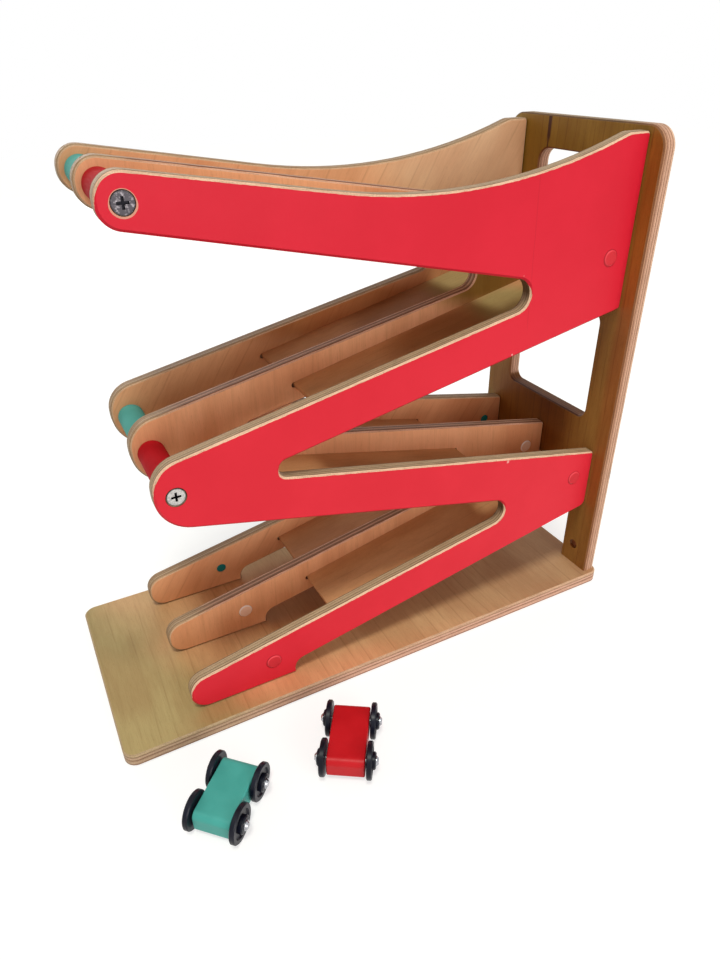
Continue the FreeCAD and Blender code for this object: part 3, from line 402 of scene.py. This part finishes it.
def end_panel():
    """Painted shade inside, olive at the top, with a painted red reflection by the red rail;
    paler outside, with a crack.
    """
    n = Board("panel_ply", X, PANEL_INNER, PANEL_THICKNESS, PANEL_SHADED_FACE, PANEL_PLIES, 2.0,
              grain=Z, across=Y, streaks=1.1, rings=0.45, gap=8.0)
    # Painted shade and reflection on the inner face: reddish by the red rail, olive at the top,
    # yellower all over, and soft patches of shade.
    inner = n.maths("LESS_THAN", n.depth, 1.0)
    beside_rail = n.step(n.at(Y), -62.0, -54.0, 1.0, 0.0)
    painted_red_reflection = n.both(beside_rail, n.step(n.at(Z), 80.0, 170.0, 0.15, 0.8))
    n.tint_face((1.12, 0.8, 0.86), n.both(inner, painted_red_reflection))
    n.tint_face((0.9, 1.04, 0.66), n.both(inner, n.step(n.at(Z), 200.0, 260.0)))
    n.tint_face((1.0, 0.97, 0.74), inner)
    n.patch_face(PANEL_SHADE_PATCHES)

    line = dict(axis=Y, place=27.9, height=315.0, lean=-0.02)
    wedge = n.both(n.upright_line(width=3.4, **line), n.step(n.at(Z), 306.0, 312.0))
    thin = n.both(n.upright_line(width=1.3, **line), n.step(n.at(Z), 298.0, 304.0))
    crack = n.both(n.maths("MAXIMUM", wedge, thin), n.maths("LESS_THAN", n.depth, 3.0))
    n.face = n.mix(crack, n.face, CRACK)
    # The outer face lightened back from the painted-shade veneer tone.
    n.tint_face((1.5, 1.7, 2.5), n.maths("GREATER_THAN", n.depth, PANEL_THICKNESS / 2))

    # Painted shade on the up-facing edges of the window and leg openings, olive towards the red
    # rail.
    upward = n.step(n.facing(Z), 0.3, 0.7)
    n.tint_edge((0.5, 0.56, 0.4), n.both(upward, n.step(n.at(Y), -66.0, -30.0)))
    below_top = n.step(n.at(Z), 312.0, 318.0, 1.0, 0.0)
    n.tint_edge((0.56, 0.28, 0.08), n.both(upward, below_top))
    n.edge = n.patch(n.edge, *EDGE_MARK)
    return n.finish_wood(n.colour(), n.fibre)


def middle_rail():
    """Bare on both faces, its edge greener at the tips; painted light on its upper part and soft
    patches of painted light and shade.
    """
    front = RAIL_FRONT["middle_rail"]
    n = Board("middle_rail_ply", Y, front, RAIL_THICKNESS, RAIL_FACE, MIDDLE_PLIES, 4.0,
              grain=Z, across=X, streaks=0.75, rings=0.16, gap=13.0)
    # Painted light: the face lighter from z = 70 up.
    n.tint_face((1.1, 1.12, 1.14), n.step(n.at(Z), 70.0, 110.0))
    n.patch_face(MIDDLE_RAIL_LIGHT_AND_SHADE_PATCHES, front)
    at_tip = n.step(n.at(X), -122.0, -100.0, 1.0, 0.0)
    tip_edge = ply_edge(n, Y, n.depth, RAIL_THICKNESS, BACK_PLIES, 4.0)
    n.edge = n.mix(at_tip, n.edge, tip_edge)
    return n.finish_wood(n.colour(), n.fibre)


def red_details(n, paint):
    """The red rail's paint deeper and darker higher up as painted shade, its seam and chips,
    painted shade round its plugs, and rims round its bolts.
    """
    front = RAIL_FRONT["front_rail"]
    # Painted shade: the red deeper and darker higher up.
    paint = n.tint(paint, (0.94, 0.5, 0.78), n.step(n.at(Z), 150.0, 290.0))
    seam = n.upright_line(X, place=95.6, height=262.0, lean=-0.032, width=0.7)
    seam = n.both(seam, n.step(n.at(Z), 212.0, 222.0, 0.0, 0.24))
    paint = n.tint(paint, (0.62, 0.3, 0.36), seam)
    for x, z, radius in CHIPS:
        paint = n.spot(paint, (x, front, z), radius, CHIP, 0.9)
    # Painted shade: a dark ring round each plug, strongest on its left.
    for x, z in RED_PLUG_PLACES:
        away = n.from_line(x, z)
        rim = n.both(n.step(away, PLUG_RADIUS - 0.15, PLUG_RADIUS + 0.15),
                     n.step(away, PLUG_RADIUS + 0.25, PLUG_RADIUS + 1.25, 1.0, 0.0))
        shaded_left = n.step(n.at(X), x - 5.0, x + 4.0, 0.85, 0.2)
        paint = n.tint(paint, (0.5, 0.3, 0.34), n.both(rim, shaded_left))
    rim_radius = HEAD_RADIUS + 0.75
    wider_below = n.step(n.at(Z), UPPER_BOLT_Z - 3.0, UPPER_BOLT_Z + 3.0, rim_radius + 0.55,
                         rim_radius)
    upper_rim = n.maths("LESS_THAN", n.from_line(BOLT_X, UPPER_BOLT_Z), wider_below)
    paint = n.mix(upper_rim, paint, BARE_RIM)
    lower_rim = n.maths("LESS_THAN", n.from_line(BOLT_X, LOWER_BOLT_Z), rim_radius)
    return n.mix(lower_rim, paint, DARK_RIM)


def painted_rail(node, plies, seed, tones):
    """A rail painted on its outer face, over the bevels too where the edge faces down."""
    front = RAIL_FRONT[node]
    n = Board(f"{node}_ply", Y, front, RAIL_THICKNESS, RAIL_FACE, plies, seed, grain=Z, across=X,
              streaks=0.6, rings=0.3, gap=11.0, slant=-32.0)
    n.patch_face(OUTER_RAIL_LIGHT_AND_SHADE_PATCHES, front)
    into = n.depth if node == "front_rail" else n.rest
    # Painted shade on the inner plies of the notch edges that don't face up.
    notch_shade = n.both(n.step(n.at(X), 50.0, 80.0), n.step(n.facing(Z), -0.1, 0.6, 1.0, 0.0))
    n.tint_edge((0.33, 0.26, 0.18), n.both(notch_shade, n.step(into, 0.9, 2.1)))

    ragged = n.step(n.noise(0.35, seed, 2.0, 0.6), 0.3, 0.75, 0.04, 0.22)
    level = n.maths("ADD", n.facing(Z), n.step(n.at(X), -20.0, 10.0, 0.0, 0.3))
    limit = n.maths("ADD", ragged, n.step(level, -0.3, 0.42, 1.35, 0.0))
    mask = n.maths("LESS_THAN", into, limit)
    paint = n.mix(n.step(n.noise(0.025, seed, 3.0), 0.3, 0.7), *tones)
    # Painted shade: the paint darker where it faces down.
    paint = n.tint(paint, (0.6, 0.4, 0.45), n.step(n.facing(Z), -0.7, -0.2, 0.6, 0.0))
    if node == "front_rail":
        paint = red_details(n, paint)

    peel = n.noise(1.1, seed)
    rough = n.mix(mask, n.step(n.fibre, 0.3, 0.8, 0.5, 0.62), n.step(peel, 0.3, 0.7, 0.42, 0.5))
    return n.finish(n.mix(mask, n.colour(), paint), rough, n.bump(n.fibre, 0.1, 0.0001),
                    specular=0.18)


def ramp_floor(number, lane):
    n = Nodes(f"floor_{number}_{lane}")
    colour, fibre = veneer(n, FLOOR_FACE, 6.0 + int(number), grain=X, across=Y, streaks=0.6,
                           rings=0.2, gap=8.0)
    # Painted light: the front lane's floors lighter.
    if lane == "front":
        colour = n.tint(colour, (1.12, 1.16, 1.14))
    if number == "2":
        for centre, reach, factors in FLOOR_2_LIGHT_AND_SHADE_PATCHES:
            colour = n.patch(colour, centre, reach, factors, FLOOR_MIDDLE[lane])
    return n.finish_wood(colour, fibre)


def tip_bolt():
    """Cross-head bolts: the upper one dark and the lower one bright, as painted reflection; the
    cross in shade.
    """
    n = Nodes("tip_bolt_steel")
    blotch = n.noise(0.7, detail=3.0, roughness=0.6)
    scratches = n.noise((6.0, 1.0, 6.0), detail=3.0)
    dark_head = n.mix(n.step(blotch, 0.46, 0.74), rgb(62, 60, 64), rgb(138, 134, 138))
    bright_head = n.mix(n.step(blotch, 0.35, 0.7), rgb(206, 204, 200), rgb(160, 158, 156))
    # Painted reflection: the upper head darker and mottled, the lower one bright.
    is_upper = n.maths("GREATER_THAN", n.at(Z), (UPPER_BOLT_Z + LOWER_BOLT_Z) / 2)
    colour = n.mix(is_upper, bright_head, dark_head)
    away = n.maths("MINIMUM", n.from_line(BOLT_X, UPPER_BOLT_Z),
                   n.from_line(BOLT_X, LOWER_BOLT_Z))
    sunk = n.maths("MINIMUM", n.maths("SUBTRACT", n.at(Y), TIP_BOLTS[0][Y]),
                   n.maths("SUBTRACT", TIP_BOLTS[1][Y], n.at(Y)))
    cross = n.both(n.maths("LESS_THAN", away, 3.3), n.maths("GREATER_THAN", sunk, 0.15))
    rim = n.step(away, HEAD_RADIUS - 0.6, HEAD_RADIUS - 0.1, 0.0, 0.6)
    colour = n.mix(rim, colour, rgb(40, 40, 44))
    colour = n.mix(cross, colour, n.mix(is_upper, rgb(8, 8, 10), rgb(26, 26, 30)))
    return n.finish(colour, n.step(blotch, 0.3, 0.7, 0.3, 0.42), n.bump(scratches, 0.15, 0.0001),
                    metallic=1.0)


def solid(name, tones, grain, seed, rough=0.45, specular=0.22, rim=None):
    """Painted or bare solid wood with a trace of its grain; a plug's bevelled rim is lighter, as
    a painted highlight.
    """
    n = Nodes(name)
    fibre = n.noise(stretched(grain, 0.15, 1.6), seed, 3.0, 0.6)
    colour = n.mix(n.step(n.noise(0.06, seed, 3.0), 0.3, 0.7), *tones)
    if rim is not None:
        # Painted highlight on a plug's bevelled rim, where the surface turns away from Y.
        flat = n.maths("ABSOLUTE", n.facing(Y))
        colour = n.mix(n.step(flat, 0.75, 0.95, 0.6, 0.0), colour, rim)
    return n.finish(colour, n.step(fibre, 0.3, 0.8, rough, rough + 0.1),
                    n.bump(fibre, 0.25, 0.00015), specular)


def plastic(name, tones, rough):
    n = Nodes(name)
    blotch = n.noise(0.12, detail=3.0)
    return n.finish(n.mix(n.step(blotch, 0.3, 0.7), *tones),
                    n.step(blotch, 0.3, 0.7, rough, rough + 0.08),
                    n.bump(n.noise(4.0), 0.06, 0.0001), specular=0.2)


def metal(name, tones, rough, scratches=0.15):
    n = Nodes(name)
    blotch = n.noise(0.6, detail=3.0)
    fine = n.noise((6.0, 1.0, 6.0), detail=3.0)
    return n.finish(n.mix(n.step(blotch, 0.3, 0.7), *tones),
                    n.step(blotch, 0.3, 0.7, rough, rough + 0.1),
                    n.bump(fine, scratches, 0.0001), metallic=1.0)


# Boards

dress("base_board", base_board())
dress("end_panel", end_panel())
dress("front_rail", painted_rail("front_rail", FRONT_PLIES, 3.0, RED_PAINT))
dress("middle_rail", middle_rail())
dress("back_rail", painted_rail("back_rail", BACK_PLIES, 5.0, TEAL_PAINT))
for number in "1234":
    for lane in ("front", "back"):
        dress(f"ramp_floor_{number}_{lane}_lane", ramp_floor(number, lane))

# Solid wood: dowels, plugs and car bodies

dress(["upper_front_dowel", "lower_front_dowel"],
      solid("red_wood", (rgb(184, 24, 34), rgb(170, 18, 28)), Y, 1.0, 0.6, 0.06))
dress(["upper_back_dowel", "lower_back_dowel"],
      solid("teal_wood", (rgb(94, 174, 166), rgb(84, 162, 154)), Y, 2.0, 0.6, 0.06))
# The plugs' rim colours are painted highlights.
dress("natural_plugs",
      solid("plain_wood", (rgb(246, 214, 194), rgb(232, 196, 174)), Z, 3.0, rim=WHITE))
dress("red_plugs",
      solid("red_plug", (rgb(208, 42, 54), rgb(198, 38, 50)), X, 4.0, rim=rgb(240, 84, 96)))
dress("teal_plugs",
      solid("teal_plug", (rgb(66, 154, 146), rgb(58, 142, 134)), X, 5.0, rim=rgb(110, 186, 176)))
dress("teal_inner_plugs",
      solid("teal_inner_plug", (rgb(22, 136, 136), rgb(14, 120, 122)), X, 5.5))
dress("red_car_body",
      solid("red_car_paint", (rgb(198, 24, 34), rgb(188, 18, 28)), X, 6.0, 0.38, 0.24))
dress("teal_car_body",
      solid("teal_car_paint", (rgb(74, 170, 162), rgb(66, 160, 152)), X, 7.0, 0.38, 0.24))

# Metal and plastic

steel = metal("zinc_steel", (rgb(190, 192, 196), rgb(160, 162, 168)), 0.3)
bright = metal("bright_steel", (rgb(196, 198, 204), rgb(150, 152, 158)), 0.16, 0.05)
# The leg barrel nuts: steel coloured brown and darkened as painted shade in their holes.
dull_shaded_steel = metal("shaded_steel", (rgb(170, 112, 76), rgb(140, 88, 58)), 0.65)
navy = plastic("navy_plastic", (rgb(16, 19, 34), rgb(9, 11, 22)), 0.3)
dress("tip_bolts", tip_bolt())
dress(["tip_sleeve_nuts", "panel_bolts", "rail_barrel_nuts", "foot_bolts", "leg_bolts"], steel)
dress("leg_barrel_nuts", dull_shaded_steel)
for car in ("teal", "red"):
    for end in ("front", "rear"):
        dress([f"{car}_{end}_wheel_left", f"{car}_{end}_wheel_right"], navy)
        dress(f"{car}_{end}_axle", steel)
        dress(f"{car}_{end}_axle_caps", bright)


# Camera, as fitted to the photograph: angles in degrees, place in millimetres

CAMERA_YAW, CAMERA_PITCH, CAMERA_ROLL = 26.987, -31.578, 1.069
CAMERA_PLACE = (-179.869, -376.375, 363.870)

camera_data = bpy.data.cameras.new("camera")
camera_data.sensor_width = 36.0
camera_data.lens = 26.419
camera_data.clip_start = 0.01
camera_data.clip_end = 20.0
camera = bpy.data.objects.new("camera", camera_data)
bpy.context.scene.collection.objects.link(camera)
yaw, pitch, roll = (math.radians(v) for v in (CAMERA_YAW, CAMERA_PITCH, CAMERA_ROLL))
forward = Vector((math.sin(yaw) * math.cos(pitch), math.cos(yaw) * math.cos(pitch),
                  math.sin(pitch)))
level_right = forward.cross(Vector((0, 0, 1))).normalized()
level_down = forward.cross(level_right)
right = math.cos(roll) * level_right + math.sin(roll) * level_down
down = math.cos(roll) * level_down - math.sin(roll) * level_right
turn = Matrix((right, -down, -forward)).transposed()
camera.matrix_world = Matrix.Translation(Vector(CAMERA_PLACE) * MM) @ turn.to_4x4()
bpy.context.scene.camera = camera


# Floor and world: white to the camera and in reflections, with the object's shadow kept

WORLD_LIGHT = (0.42, 0.39, 0.37, 1.0)
FLOOR_REACH = 3.0
FLOOR_DROP = 0.00005
FLOOR_GLOW = 1.3


def light_path(tree):
    """1 for rays from the camera and for reflected or passing ones, 0 for scattered light."""
    node = tree.nodes.new("ShaderNodeLightPath")
    total = node.outputs["Is Camera Ray"]
    for name in ("Is Glossy Ray", "Is Transmission Ray"):
        add = tree.nodes.new("ShaderNodeMath")
        add.operation = "MAXIMUM"
        tree.links.new(total, add.inputs[0])
        tree.links.new(node.outputs[name], add.inputs[1])
        total = add.outputs[0]
    return total


world = bpy.data.worlds.new("studio")
bpy.context.scene.world = world
world.use_nodes = True
tree = world.node_tree
tree.nodes.clear()
world_output = tree.nodes.new("ShaderNodeOutputWorld")
background = tree.nodes.new("ShaderNodeBackground")
world_colour = tree.nodes.new("ShaderNodeMix")
world_colour.data_type = "RGBA"
world_colour.inputs[6].default_value = WORLD_LIGHT
world_colour.inputs[7].default_value = WHITE
tree.links.new(light_path(tree), world_colour.inputs[0])
tree.links.new(world_colour.outputs[2], background.inputs["Color"])
tree.links.new(background.outputs[0], world_output.inputs[0])

floor_mesh = bpy.data.meshes.new("studio_floor")
corners = [(-1, -1), (1, -1), (1, 1), (-1, 1)]
floor_mesh.from_pydata([(x * FLOOR_REACH, y * FLOOR_REACH, 0) for x, y in corners], [],
                       [(0, 1, 2, 3)])
floor = bpy.data.objects.new("studio_floor", floor_mesh)
floor.location.z = -FLOOR_DROP
bpy.context.scene.collection.objects.link(floor)
n = Nodes("studio_floor")
n.finish(rgb(216, 214, 210), 0.9, specular=0.0)
pale = n.add("BsdfDiffuse")
pale.inputs["Color"].default_value = (0.9, 0.9, 0.9, 1)
glow = n.add("Emission")
glow.inputs["Strength"].default_value = FLOOR_GLOW
seen_floor, blend = n.add("MixShader"), n.add("MixShader")
n.put(seen_floor.inputs[1], pale.outputs[0])
n.put(seen_floor.inputs[2], glow.outputs[0])
n.put(blend.inputs[0], light_path(n.tree))
n.put(blend.inputs[1], n.shader.outputs[0])
n.put(blend.inputs[2], seen_floor.outputs[0])
n.put(n.output.inputs[0], blend.outputs[0])
floor_mesh.materials.append(n.material)


# Lamps: a soft light from overhead, a little to the left and front, and two wide fills

def lamp(name, kind, place, target, energy, colour, **settings):
    data = bpy.data.lights.new(name, kind)
    data.energy = energy
    data.color = colour
    for key, value in settings.items():
        setattr(data, key, value)
    holder = bpy.data.objects.new(name, data)
    bpy.context.scene.collection.objects.link(holder)
    holder.location = place
    holder.rotation_mode = "QUATERNION"
    holder.rotation_quaternion = (Vector(target) - Vector(place)).to_track_quat("-Z", "Y")


MIDDLE = (0.0, 0.0, 0.15)
lamp("overhead", "SUN", (-0.18, -0.32, 1.1), (0.0, 0.0, 0.0), 1.45, (0.97, 1.0, 0.9),
     angle=math.radians(13))
lamp("front_fill", "AREA", (0.3, -1.65, 0.4), MIDDLE, 14.0, (1.0, 0.93, 0.9),
     shape="DISK", size=1.2)
lamp("back_fill", "AREA", (-0.3, 1.8, 0.7), MIDDLE, 8.0, (1.0, 0.97, 0.94),
     shape="DISK", size=1.2)

bpy.context.scene.view_settings.view_transform = "Standard"
